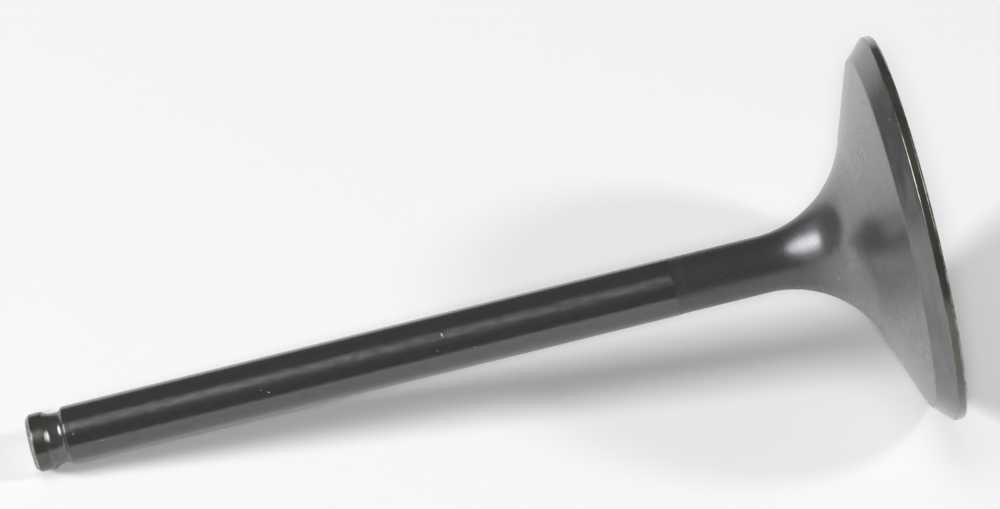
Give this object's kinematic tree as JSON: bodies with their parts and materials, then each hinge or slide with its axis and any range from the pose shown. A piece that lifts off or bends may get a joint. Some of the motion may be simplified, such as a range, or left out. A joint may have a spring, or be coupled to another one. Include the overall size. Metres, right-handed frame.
{
  "type": "engine valve",
  "caption": "Poppet valve with a slim ground stem, a round keeper groove by its tip, and a tulip neck that flares into a wide flat head with an angled seat.",
  "frame": {"origin": "middle of the flat combustion face, which the valve stands on", "axes": "+Z along the stem, from the head towards the tip; the part is the same all round the Z axis"},
  "size_m": [0.0468, 0.0468, 0.1081],
  "materials": {
    "valve_steel": "dark nitrided, ground stem and satin head"
  },
  "bodies": {
    "root": {"engine_valve": "valve_steel"}
  },
  "joints": []
}
